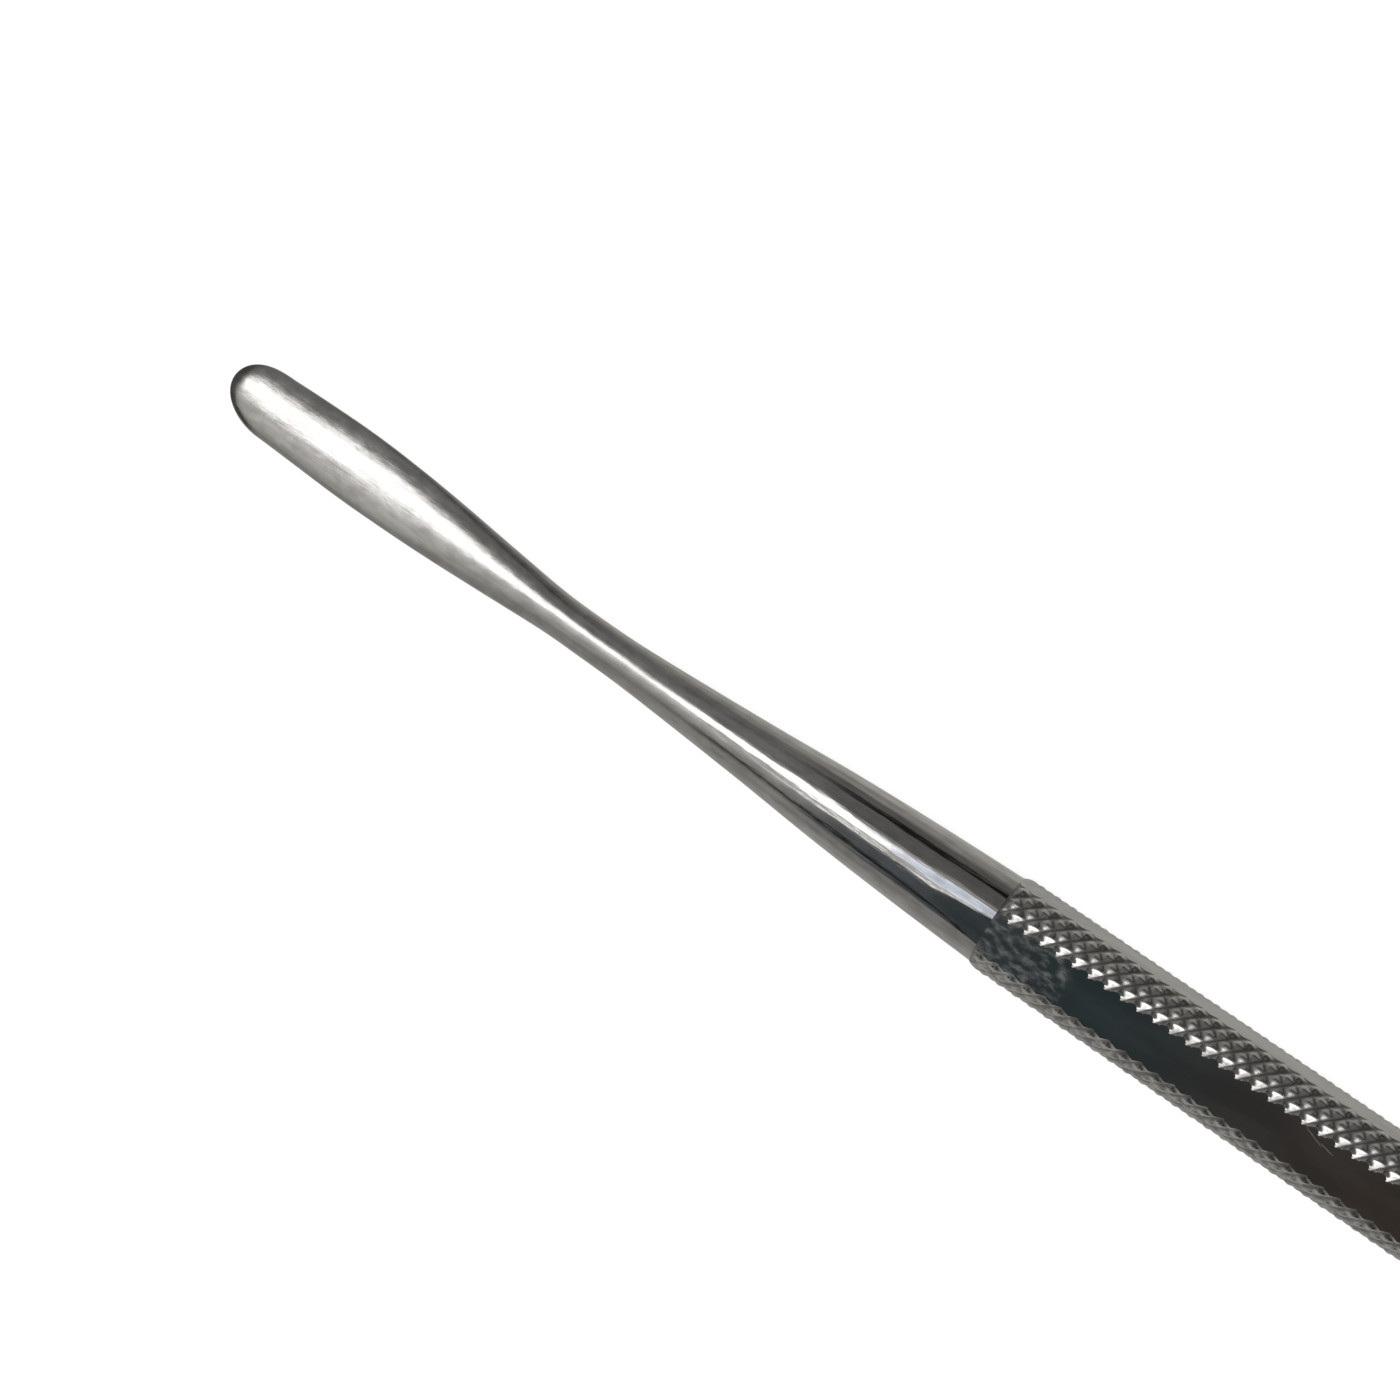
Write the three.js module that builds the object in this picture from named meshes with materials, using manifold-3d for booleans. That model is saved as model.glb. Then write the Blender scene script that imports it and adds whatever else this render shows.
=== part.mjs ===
// A double-ended steel clay modelling tool: a knurled bar handle with two broad and two
// narrow flats, and a forged tip pressed into each end.
//
// Millimetres, +Z up. The tool lies along X on a broad flat of its handle, with the round
// leaf tip at -X and the narrow spear tip at +X. The floor is the plane z = 0, and the
// origin is under the middle of the whole tool.

import * as THREE from 'three';
import { mergeVertices } from 'three/addons/utils/BufferGeometryUtils.js';
import Module from 'manifold-3d';

const wasm = await Module();
wasm.setup();

// ---------------------------------------------------------------- driving dimensions

const HANDLE_LENGTH = 66;
const HANDLE_RADIUS = 3.25; // over the crests of the knurl
const BROAD_FLAT_APOTHEM = 2.84; // from the axis to the upper and lower flats
const SIDE_FLAT_APOTHEM = 3; // from the axis to the two narrower side flats
const HANDLE_END_RADIUS = 3.03; // at the foot of the chamfer that starts the knurl
const HANDLE_CHAMFER = 0.5; // along the axis

const TANG_RADIUS = 1.6;
const TANG_LENGTH = 10;
const TANG_CHAMFER = 0.3;
const BORE_CLEARANCE = 0.03; // on the radius, round a tang
const BORE_SPARE_DEPTH = 1; // past a tang's end
const SEAM = 0.02; // between a handle end and a shank's shoulder

const SHANK_RADIUS = 2.99; // where a tip meets the handle, proud of the broad flats
const FLATS_RUN_OUT = 8; // from the shoulder, past where the shank is thinner than the flats

// Both blades are turned the same way out of the flats' plane. The leaf is made pointing
// to +X like the spear and then turned end for end, so its own twist has the other sign.
const BLADE_TWIST = THREE.MathUtils.degToRad(17.5);

// A tip's half-widths, from its shoulder outwards, as [distance, half-width] pairs.
// The last pair is the blade's half-width at the base of its rounded nose.
const LEAF = {
  name: 'leaf_tip',
  length: 60.75,
  outline: [
    [6, 2.77], [12, 2.46], [18, 2.02], [24, 1.645], [28, 1.44], [31, 1.4],
    [34, 1.44], [38, 1.73], [43, 2.1], [47, 2.3], [51, 2.37], [57, 2.22],
  ],
  noseFullness: 2.3, // 2 is an ellipse, and more is blunter
  noseRoll: 1.2, // length over which the nose's thickness falls away
  pointSet: 0.2, // sideways set of the nose's point
  flattening: 0.25, // thickness of the blade over its width
  flattenFrom: 24,
  flattenTo: 49,
  lean: 0.007, // sideways run of the centre line for each millimetre of length
  swing: 0.6, // further sideways set of the blade
  swingFrom: 28,
  swingTo: 57,
  twist: BLADE_TWIST,
};

const SPEAR = {
  name: 'spear_tip',
  length: 58,
  outline: [
    [6, 2.72], [12, 2.3], [18, 1.8], [23, 1.46], [28, 1.35],
    [33, 1.55], [38, 1.86], [43, 1.92], [48, 1.66], [53, 1.16],
  ],
  noseFullness: 2,
  noseRoll: 3,
  pointSet: 0,
  flattening: 0.32,
  flattenFrom: 22,
  flattenTo: 42,
  lean: 0,
  swing: 0,
  swingFrom: 28,
  swingTo: 57,
  twist: -BLADE_TWIST,
};

const SIDES = 32; // facets round the axis
const OUTLINE_STEPS = 28; // rings along a tip's outline
const NOSE_STEPS = 8;

// ------------------------------------------------------------------------ solid tools

function toSolid(geometry) {
  const bare = geometry.clone();
  bare.deleteAttribute('normal');
  bare.deleteAttribute('uv');
  const merged = mergeVertices(bare, 1e-5);
  return new wasm.Manifold(new wasm.Mesh({
    numProp: 3,
    vertProperties: new Float32Array(merged.attributes.position.array),
    triVerts: new Uint32Array(merged.index.array),
  }));
}

function toGeometry(solid) {
  const mesh = solid.getMesh();
  const geometry = new THREE.BufferGeometry();
  geometry.setAttribute('position', new THREE.BufferAttribute(mesh.vertProperties, 3));
  geometry.setIndex(new THREE.BufferAttribute(mesh.triVerts, 1));
  geometry.computeVertexNormals();
  return geometry;
}

// A solid of revolution about X, from [radius, x] corners that start and end on the axis.
function turned(corners) {
  const profile = corners.map(([radius, x]) => new THREE.Vector2(radius, x));
  return new THREE.LatheGeometry(profile, SIDES).rotateZ(-Math.PI / 2);
}

// A bar of the section that the four flats leave, or of a larger one.
function flatSided(start, end, scale = 1) {
  const wide = 2 * SIDE_FLAT_APOTHEM * scale;
  const deep = 2 * BROAD_FLAT_APOTHEM * scale;
  const box = new THREE.BoxGeometry(end - start, wide, deep);
  return toSolid(box.translate((start + end) / 2, 0, 0));
}

// ----------------------------------------------------------------------------- handle

function handleGeometry() {
  const end = HANDLE_LENGTH / 2;
  const bore = TANG_RADIUS + BORE_CLEARANCE;
  const floor = end - TANG_LENGTH - BORE_SPARE_DEPTH;
  const half = [
    [HANDLE_RADIUS, end - HANDLE_CHAMFER],
    [HANDLE_END_RADIUS, end],
    [bore, end],
    [bore, floor],
    [0, floor],
  ];
  const otherHalf = half.map(([radius, x]) => [radius, -x]).reverse();
  const bar = toSolid(turned([...otherHalf, ...half]));
  return toGeometry(bar.intersect(flatSided(-HANDLE_LENGTH, HANDLE_LENGTH)));
}

// ------------------------------------------------------------------------------- tips

// The outline of a tip and its tang, as [radius, distance] corners from the tang's end
// to the point of the nose. A tip grows along +X from its shoulder at x = 0.
function tipProfile(tip) {
  const tang = [
    [0, -TANG_LENGTH],
    [TANG_RADIUS - TANG_CHAMFER, -TANG_LENGTH],
    [TANG_RADIUS, TANG_CHAMFER - TANG_LENGTH],
    [TANG_RADIUS, 0],
  ];
  const stations = [[0, SHANK_RADIUS], ...tip.outline];
  const outline = new THREE.SplineCurve(stations.map(([x, half]) => new THREE.Vector2(half, x)));
  const body = outline.getPoints(OUTLINE_STEPS).map((point) => [point.x, point.y]);

  const [noseBase, noseHalf] = tip.outline.at(-1);
  const nose = [];
  for (let step = 1; step <= NOSE_STEPS; step += 1) {
    const reach = Math.sin((step / NOSE_STEPS) * (Math.PI / 2));
    const x = noseBase + (tip.length - noseBase) * reach;
    const radius = step === NOSE_STEPS ? 0 : noseHalf * noseWidth(tip, x);
    nose.push([radius, x]);
  }
  return [...tang, ...body, ...nose];
}

// How much of the blade's width is left at x, from 1 at the nose's base to 0 at its point.
function noseWidth(tip, x) {
  const noseBase = tip.outline.at(-1)[0];
  const reach = Math.min(1, Math.max(0, (x - noseBase) / (tip.length - noseBase)));
  return Math.sqrt(1 - reach ** tip.noseFullness);
}

// How much of its thickness is left at x, which falls away later than the width.
function noseThickness(tip, x) {
  const reach = Math.min(1, Math.max(0, (x - tip.length) / tip.noseRoll + 1));
  return Math.sqrt(1 - reach ** 2);
}

// Presses the turned blank flat towards its blade, and sets the blade to one side.
function forge(geometry, tip) {
  const { lerp, smoothstep } = THREE.MathUtils;
  const place = geometry.attributes.position;
  const noseBase = tip.outline.at(-1)[0];
  for (let i = 0; i < place.count; i += 1) {
    const x = place.getX(i);
    const flatness = smoothstep(x, tip.flattenFrom, tip.flattenTo);
    const blade = tip.swing * smoothstep(x, tip.swingFrom, tip.swingTo);
    const point = tip.pointSet * smoothstep(x, noseBase, tip.length);
    const width = noseWidth(tip, x);
    const roll = width > 0 ? noseThickness(tip, x) / width : 1;
    place.setY(i, place.getY(i) + tip.lean * Math.max(x, 0) + blade + point);
    place.setZ(i, place.getZ(i) * lerp(1, tip.flattening, flatness) * roll);
  }
  return geometry;
}

// The handle's flats run out over the fat end of the shank, and leave the blade alone.
function tipGeometry(tip) {
  const blank = turned(tipProfile(tip));
  const forged = toSolid(forge(blank, tip).rotateX(tip.twist));
  const groundPart = flatSided(-HANDLE_LENGTH, 2 * FLATS_RUN_OUT);
  const freePart = flatSided(FLATS_RUN_OUT, 2 * tip.length, 2);
  return toGeometry(forged.intersect(groundPart.add(freePart)));
}

// ----------------------------------------------------------------------------- pieces

const GROUND_STEEL = new THREE.MeshStandardMaterial({
  name: 'ground_steel', color: 0x8f8d89, roughness: 0.38, metalness: 1,
});
const SATIN_STEEL = new THREE.MeshStandardMaterial({
  name: 'satin_steel', color: 0xb4b2ae, roughness: 0.24, metalness: 1,
});

function piece(name, geometry, material) {
  const mesh = new THREE.Mesh(geometry, material.clone());
  mesh.name = name;
  return mesh;
}

const tool = new THREE.Group();

tool.add(piece('handle', handleGeometry(), GROUND_STEEL));

const leafTip = piece(LEAF.name, tipGeometry(LEAF).rotateY(Math.PI), SATIN_STEEL);
leafTip.position.x = -HANDLE_LENGTH / 2 - SEAM;
tool.add(leafTip);

const spearTip = piece(SPEAR.name, tipGeometry(SPEAR), SATIN_STEEL);
spearTip.position.x = HANDLE_LENGTH / 2 + SEAM;
tool.add(spearTip);

// Lies on its broad lower flat, with its length and width centred over the origin.
const bounds = new THREE.Box3().setFromObject(tool, true);
const middle = bounds.getCenter(new THREE.Vector3());
tool.position.set(-middle.x, -middle.y, BROAD_FLAT_APOTHEM);
tool.updateMatrixWorld(true);

export default tool;
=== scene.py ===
"""Looks of a double-ended steel clay modelling tool.

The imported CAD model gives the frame: the tool lies along X on a broad flat of its handle, with
the leaf tip at -X, the spear tip at +X and the floor at z = 0. Every size here is in metres.
"""

import logging
import math
from dataclasses import dataclass
from enum import Enum

import bpy
import numpy as np
from mathutils import Matrix, Vector


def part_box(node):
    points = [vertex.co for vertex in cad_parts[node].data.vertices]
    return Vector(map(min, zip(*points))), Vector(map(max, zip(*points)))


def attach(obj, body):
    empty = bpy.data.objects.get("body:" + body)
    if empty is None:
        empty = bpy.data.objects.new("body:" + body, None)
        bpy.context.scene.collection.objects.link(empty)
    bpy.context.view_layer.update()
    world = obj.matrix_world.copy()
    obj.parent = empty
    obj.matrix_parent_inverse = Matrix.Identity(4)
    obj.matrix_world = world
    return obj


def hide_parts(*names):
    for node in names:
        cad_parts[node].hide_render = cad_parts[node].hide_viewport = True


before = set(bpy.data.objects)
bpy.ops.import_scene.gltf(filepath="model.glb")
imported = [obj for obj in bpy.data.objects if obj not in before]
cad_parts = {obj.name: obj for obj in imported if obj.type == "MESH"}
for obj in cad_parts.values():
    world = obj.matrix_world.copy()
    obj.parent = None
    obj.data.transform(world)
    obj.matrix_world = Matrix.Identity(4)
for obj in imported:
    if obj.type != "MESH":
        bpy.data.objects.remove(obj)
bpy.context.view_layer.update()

MM = 0.001
LOG = logging.getLogger("clay_tool")


# -------------------------------------------------------------------------------- node trees


class Socket:
    """One node's value, which can be used in Python expressions."""

    def __init__(self, book: "NodeBook", link: bpy.types.NodeSocket) -> None:
        """Wraps an output socket of a tree.

        Args:
            book: The node book that the socket's tree belongs to.
            link: The output socket.
        """
        self.book = book
        self.link = link

    def _math(self, operation: str, *values: object) -> "Socket":
        """Adds a Math node and returns its result."""
        return self.book.math(operation, *values)

    def __add__(self, other: object) -> "Socket":
        """Returns self + other."""
        return self._math("ADD", self, other)

    def __radd__(self, other: object) -> "Socket":
        """Returns other + self."""
        return self._math("ADD", other, self)

    def __sub__(self, other: object) -> "Socket":
        """Returns self - other."""
        return self._math("SUBTRACT", self, other)

    def __rsub__(self, other: object) -> "Socket":
        """Returns other - self."""
        return self._math("SUBTRACT", other, self)

    def __mul__(self, other: object) -> "Socket":
        """Returns self * other."""
        return self._math("MULTIPLY", self, other)

    def __rmul__(self, other: object) -> "Socket":
        """Returns other * self."""
        return self._math("MULTIPLY", other, self)

    def __truediv__(self, other: object) -> "Socket":
        """Returns self / other."""
        return self._math("DIVIDE", self, other)

    def __pow__(self, other: object) -> "Socket":
        """Returns self ** other."""
        return self._math("POWER", self, other)

    def __abs__(self) -> "Socket":
        """Returns the absolute value."""
        return self._math("ABSOLUTE", self)


@dataclass(frozen=True)
class Grain:
    """Noise on a surface, drawn out along the axis that has the fewest grains in a metre.

    Attributes:
        per_metre: How many grains there are in a metre along X, Y and Z.
        octaves: How many finer sizes of grain are laid over the largest.
        seed: An offset that makes two grains different.
    """

    per_metre: tuple[float, float, float]
    octaves: float
    seed: float


class NodeBook:
    """Adds nodes to one tree: any node by its type, settings and socket values."""

    def __init__(self, tree: bpy.types.NodeTree) -> None:
        """Opens a tree.

        Args:
            tree: A shader or geometry node tree.
        """
        self.tree = tree

    def node(self, kind: str, settings: dict | None = None, **values: object) -> bpy.types.Node:
        """Adds one node.

        Args:
            kind: The node's Blender type.
            settings: Properties of the node, set before its sockets are used.
            **values: A value or link for each input, by the socket's name with _ for a space.

        Returns:
            The new node.
        """
        made = self.tree.nodes.new(kind)
        for name, value in (settings or {}).items():
            setattr(made, name, value)
        for name, value in values.items():
            self.feed(self._input(made, name.replace("_", " ")), value)
        return made

    @staticmethod
    def _input(node: bpy.types.Node, name: str) -> bpy.types.NodeSocket:
        """Returns a node's enabled input of that name."""
        return next(s for s in node.inputs if s.name == name and s.enabled)

    def feed(self, socket: bpy.types.NodeSocket, value: object) -> None:
        """Links a value to an input, or sets it.

        Args:
            socket: The input.
            value: A Socket, an output socket or a plain value.
        """
        if isinstance(value, Socket):
            self.tree.links.new(value.link, socket)
        elif isinstance(value, bpy.types.NodeSocket):
            self.tree.links.new(value, socket)
        else:
            socket.default_value = value

    def math(self, operation: str, *values: object) -> Socket:
        """Adds a Math node.

        Args:
            operation: The node's operation.
            *values: One value or link for each of its inputs, in order.

        Returns:
            The node's result.
        """
        made = self.node("ShaderNodeMath", {"operation": operation})
        for socket, value in zip(made.inputs, values):
            self.feed(socket, value)
        return Socket(self, made.outputs[0])

    def smooth(self, value: object, start: float, end: float) -> Socket:
        """Returns a smooth step of value, 0 at start and 1 at end.

        Args:
            value: What is compared.
            start: Where the step is 0.
            end: Where the step is 1.

        Returns:
            The step, between 0 and 1.
        """
        settings = {"interpolation_type": "SMOOTHSTEP"}
        made = self.node("ShaderNodeMapRange", settings, Value=value, From_Min=start, From_Max=end)
        return Socket(self, made.outputs["Result"])

    def split(self, vector: object) -> tuple[Socket, Socket, Socket]:
        """Returns the x, y and z of a vector."""
        made = self.node("ShaderNodeSeparateXYZ", Vector=vector)
        return tuple(Socket(self, made.outputs[axis]) for axis in "XYZ")

    def place(self) -> tuple[Socket, Socket, Socket]:
        """Returns the x, y and z of the shaded point, in the piece's own frame."""
        return self.split(self.node("ShaderNodeTexCoord").outputs["Object"])

    def noise(self, grain: Grain) -> Socket:
        """Adds noise to the surface.

        Args:
            grain: The noise's grain.

        Returns:
            The noise, about 0.5 on average.
        """
        placed = self.node(
            "ShaderNodeMapping",
            Vector=self.node("ShaderNodeTexCoord").outputs["Object"],
            Location=(grain.seed, grain.seed, grain.seed),
            Scale=grain.per_metre,
        )
        made = self.node("ShaderNodeTexNoise", Vector=placed.outputs["Vector"], Scale=1.0,
                         Detail=grain.octaves)
        return Socket(self, made.outputs["Fac"])

    def tint(self, amount: Socket, low: object, high: object) -> Socket:
        """Mixes two colours.

        Args:
            amount: 0 for low, 1 for high.
            low: A linear RGB colour, or a link that carries one.
            high: A linear RGB colour, or a link that carries one.

        Returns:
            The mixed colour.
        """
        made = self.node("ShaderNodeMix", {"data_type": "RGBA"}, Factor=amount)
        colours = [s for s in made.inputs if s.type == "RGBA"]
        for socket, colour in zip(colours, (low, high)):
            self.feed(socket, colour if isinstance(colour, Socket) else (*colour, 1.0))
        return Socket(self, next(s for s in made.outputs if s.type == "RGBA"))

    def ramp(self, amount: Socket, stops: tuple[tuple[float, tuple], ...]) -> Socket:
        """Looks a colour up in a ramp.

        Args:
            amount: Where to look, from 0 to 1.
            stops: The ramp's places and linear RGB colours, in order.

        Returns:
            The colour.
        """
        made = self.node("ShaderNodeValToRGB")
        elements = made.color_ramp.elements
        while len(elements) < len(stops):
            elements.new(1.0)
        while len(elements) > len(stops):
            elements.remove(elements[-1])
        for element, (place, colour) in zip(elements, stops):
            element.position = place
            element.color = (*colour, 1.0)
        self.feed(made.inputs["Fac"], amount)
        return Socket(self, made.outputs["Color"])

    def bump(self, height: Socket, depth: float, below: Socket | None = None) -> Socket:
        """Adds a relief to the surface normal.

        Args:
            height: The relief, from 0 to 1.
            depth: How deep the relief is from 0 to 1, in metres.
            below: A normal that already has a relief.

        Returns:
            The new normal.
        """
        made = self.node("ShaderNodeBump", Height=height, Strength=1.0, Distance=depth)
        if below is not None:
            self.feed(made.inputs["Normal"], below)
        return Socket(self, made.outputs["Normal"])

    def joined(self, kind: str, shaders: tuple[bpy.types.Node, bpy.types.Node],
               **values: object) -> bpy.types.NodeSocket:
        """Adds a Mix Shader or Add Shader node.

        Args:
            kind: The node's Blender type.
            shaders: The two nodes that it joins.
            **values: A value or link for each other input.

        Returns:
            The joined shader.
        """
        made = self.node(kind, **values)
        for socket, shader in zip(made.inputs[-2:], shaders):
            self.feed(socket, shader.outputs[0])
        return made.outputs[0]


def emptied(owner: bpy.types.Material | bpy.types.World) -> NodeBook:
    """Clears the nodes of a material or a world.

    Args:
        owner: The material or world.

    Returns:
        The book of its empty tree.
    """
    owner.use_nodes = True
    owner.node_tree.nodes.clear()
    return NodeBook(owner.node_tree)


# ---------------------------------------------------------------------------------- finishes


class Finish:
    """A steel finish that becomes one material. Each kind has its own name and paint."""

    name: str

    def paint(self, book: NodeBook) -> dict[str, object]:
        """Returns what feeds the shader's varying inputs.

        Args:
            book: The material's node book.

        Returns:
            A value or link for each input, by its name with _ for a space.
        """
        raise NotImplementedError

    def material(self) -> bpy.types.Material:
        """Builds the material.

        Returns:
            The new material.
        """
        made = bpy.data.materials.new(self.name)
        book = emptied(made)
        painted = {"Metallic": 1.0, **self.paint(book)}
        shader = book.node("ShaderNodeBsdfPrincipled", **painted)
        book.node("ShaderNodeOutputMaterial", Surface=shader.outputs["BSDF"])
        return made


@dataclass(frozen=True)
class TipSteel(Finish):
    """Polished shank that turns satin towards the blade, with a duller stretch at the neck."""

    name: str
    shoulder: float
    direction: float
    light: tuple = (0.60, 0.59, 0.575)
    dark: tuple = (0.47, 0.46, 0.445)
    dark_below: float = 0.38
    light_above: float = 0.62
    satin_from: float = 14 * MM
    satin_to: float = 36 * MM
    neck: float = 26.5 * MM
    neck_reach: float = 7 * MM
    neck_waver: float = 6 * MM
    streaks: Grain = Grain((190.0, 2400.0, 2400.0), 4.0, 3.1)
    patches: Grain = Grain((850.0, 1400.0, 1400.0), 4.0, 7.7)
    hairs: Grain = Grain((160.0, 11000.0, 11000.0), 2.0, 1.9)
    waves: Grain = Grain((130.0, 620.0, 620.0), 1.0, 5.3)
    shank_roughness: float = 0.03
    satin_roughness: float = 0.06
    streak_roughness: float = 0.08
    patch_roughness: float = 0.03
    satin_patch_roughness: float = 0.16
    neck_roughness: float = 0.20
    wave_depth: float = 0.040 * MM
    streak_depth: float = 0.022 * MM
    streaks_left_on_blade: float = 0.3
    patch_depth: float = 0.018 * MM
    hair_depth: float = 0.002 * MM
    hairs_on_shank: float = 0.35

    def paint(self, book: NodeBook) -> dict[str, object]:
        """Returns the colour, roughness and relief. See Finish.paint."""
        x, _, _ = book.place()
        along = (x - self.shoulder) * self.direction
        satin = book.smooth(along, self.satin_from, self.satin_to)
        streaks = book.noise(self.streaks)
        patches = book.noise(self.patches)
        waves = book.noise(self.waves)
        from_neck = abs(along - self.neck) + (waves - 0.5) * self.neck_waver
        dull_neck = 1 - book.smooth(from_neck, 0.0, self.neck_reach)
        patchiness = self.patch_roughness + satin * self.satin_patch_roughness
        roughness = self.shank_roughness + satin * self.satin_roughness + patches * patchiness
        roughness = roughness + streaks * (self.streak_roughness + dull_neck * self.neck_roughness)
        streaked = streaks * (1 - satin * (1 - self.streaks_left_on_blade))
        hairy = book.noise(self.hairs) * (self.hairs_on_shank + satin * (1 - self.hairs_on_shank))
        relief = book.bump(waves, self.wave_depth)
        relief = book.bump(streaked, self.streak_depth, relief)
        relief = book.bump(patches * satin, self.patch_depth, relief)
        relief = book.bump(hairy, self.hair_depth, relief)
        lightness = book.smooth((patches + streaks) * 0.5, self.dark_below, self.light_above)
        return {
            "Base_Color": book.tint(lightness, self.dark, self.light),
            "Roughness": roughness,
            "Normal": relief,
        }


@dataclass(frozen=True)
class KnurlSteel(Finish):
    """Cut diamonds: bright rubbed points over dull roots, whose darker colour is painted shade in
    the grooves.
    """

    name: str
    axis_y: float
    axis_z: float
    crest: float
    depth: float
    point: tuple = (0.62, 0.61, 0.59)
    # painted shade: the roots get a darker colour for the shade that falls in the grooves
    root: tuple = (0.31, 0.30, 0.29)
    point_roughness: float = 0.12
    root_roughness: float = 0.28
    rubbed_and_unshaded_above: float = 0.7
    # noise that makes the border of the painted shade in the roots uneven
    shade_edge_noise: Grain = Grain((1600.0, 1600.0, 1600.0), 3.0, 2.4)
    shade_edge_spread: float = 1.8
    scratches: Grain = Grain((700.0, 5200.0, 5200.0), 3.0, 8.2)
    scratch_roughness: float = 0.10
    scratch_depth: float = 0.005 * MM

    def paint(self, book: NodeBook) -> dict[str, object]:
        """Returns the colour, roughness and relief. See Finish.paint."""
        _, y, z = book.place()
        out_y = y - self.axis_y
        out_z = z - self.axis_z
        radius = (out_y * out_y + out_z * out_z) ** 0.5
        height = (radius - (self.crest - self.depth)) / self.depth
        # painted shade: the colour darkens from the rubbed points down into the grooves' roots,
        # with an uneven border
        shade_edge_jitter = (book.noise(self.shade_edge_noise) - 0.5) * self.shade_edge_spread
        rubbed_and_unshaded = book.smooth(height + shade_edge_jitter, 0.0, self.rubbed_and_unshaded_above)
        scratches = book.noise(self.scratches)
        polish = rubbed_and_unshaded * (self.root_roughness - self.point_roughness)
        return {
            "Base_Color": book.tint(rubbed_and_unshaded, self.root, self.point),
            "Roughness": self.root_roughness - polish + scratches * self.scratch_roughness,
            "Normal": book.bump(scratches, self.scratch_depth),
        }


@dataclass(frozen=True)
class Scratch:
    """A short hairline scratch on the broad flats, placed from the handle's middle."""

    x: float
    y: float
    angle: float
    length: float
    width: float = 0.05 * MM
    fades_from: float = 0.2

    def mask(self, book: NodeBook, x: Socket, y: Socket) -> Socket:
        """Returns 1 on the scratch and 0 off it.

        Args:
            book: The material's node book.
            x: The place along the handle, from its middle.
            y: The place across the handle, from its axis.

        Returns:
            The mask.
        """
        off_x = x - self.x
        off_y = y - self.y
        along = off_x * math.cos(self.angle) + off_y * math.sin(self.angle)
        aside = off_y * math.cos(self.angle) - off_x * math.sin(self.angle)
        line = 1 - book.smooth(abs(aside), 0.0, self.width)
        ends = book.smooth(abs(along), self.length * self.fades_from, self.length / 2)
        return line * (1 - ends)


@dataclass(frozen=True)
class GroundFlatSteel(Finish):
    """A ground and polished flat, with ghosts of the knurl left near the handle's ends."""

    name: str
    centre_x: float
    centre_y: float
    half_length: float
    axial_pitch: float
    round_pitch: float
    clean: tuple = (0.53, 0.52, 0.51)
    worn: tuple = (0.44, 0.43, 0.42)
    dulled: tuple = (0.42, 0.42, 0.42)
    worn_below: float = 0.35
    clean_above: float = 0.65
    ghost_length: float = 6.2 * MM
    ghost_fades_from: float = 0.85
    ghost_waver: float = 3 * MM
    ghost_strength: float = 0.40
    ghost_depth: float = 0.004 * MM
    lattice_share: float = 0.06
    smear_from: float = 0.38
    smear_to: float = 0.82
    uneven: Grain = Grain((260.0, 500.0, 500.0), 2.0, 6.1)
    smears: Grain = Grain((1500.0, 3000.0, 3000.0), 4.0, 9.4)
    lines: Grain = Grain((60.0, 9000.0, 9000.0), 2.0, 4.4)
    cloud: Grain = Grain((160.0, 600.0, 600.0), 4.0, 0.7)
    line_depth: float = 0.0005 * MM
    polished_roughness: float = 0.06
    cloud_roughness: float = 0.08
    end_roughness: float = 0.03
    dull_roughness: float = 0.2
    scratch_strength: float = 0.35
    scratches: tuple[Scratch, ...] = (
        Scratch(-10.6 * MM, 1.0 * MM, math.radians(-20), 1.8 * MM),
        Scratch(-9.6 * MM, 0.8 * MM, math.radians(-14), 1.2 * MM),
        Scratch(14.2 * MM, -0.6 * MM, math.radians(31), 2.4 * MM),
    )

    def near_end(self, book: NodeBook, x: Socket) -> Socket:
        """Returns 1 where the ghosts are, near the handle's ends, and 0 between them.

        Args:
            book: The material's node book.
            x: The place along the handle, from its middle.

        Returns:
            The mask, with an uneven border.
        """
        inward = self.half_length - abs(x)
        border = inward + (book.noise(self.uneven) - 0.5) * self.ghost_waver
        return 1 - book.smooth(border, self.ghost_length * self.ghost_fades_from, self.ghost_length)

    def paint(self, book: NodeBook) -> dict[str, object]:
        """Returns the colour, roughness, metallic share and relief. See Finish.paint."""
        place_x, place_y, z = book.place()
        x = place_x - self.centre_x
        y = place_y - self.centre_y
        near_end = self.near_end(book, x)
        across = y + z
        turns_up = x / self.axial_pitch + across / self.round_pitch
        turns_down = x / self.axial_pitch - across / self.round_pitch
        lattice = book.math("COSINE", turns_up * math.tau) * 0.5
        lattice = lattice + book.math("COSINE", turns_down * math.tau) * 0.5
        smeared = lattice * self.lattice_share + book.noise(self.smears)
        ghost = near_end * book.smooth(smeared, self.smear_from, self.smear_to)
        dull = ghost * self.ghost_strength
        for scratch in self.scratches:
            dull = dull + scratch.mask(book, x, y) * self.scratch_strength
        cloud = book.noise(self.cloud)
        cleanness = book.smooth(cloud, self.worn_below, self.clean_above)
        colour = book.tint(cleanness, self.worn, self.clean)
        roughness = self.polished_roughness + cloud * self.cloud_roughness
        roughness = roughness + near_end * self.end_roughness
        relief = book.bump(book.noise(self.lines), self.line_depth)
        return {
            "Base_Color": book.tint(dull, colour, self.dulled),
            "Roughness": roughness + dull * self.dull_roughness,
            "Metallic": 1 - dull,
            "Normal": book.bump(ghost, self.ghost_depth, relief),
        }


# ------------------------------------------------------------------------------------ pieces


def smoothstep(value: float, start: float, end: float) -> float:
    """Returns a smooth step of value, 0 at start and 1 at end."""
    ratio = min(1.0, max(0.0, (value - start) / (end - start)))
    return ratio * ratio * (3.0 - 2.0 * ratio)


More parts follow.
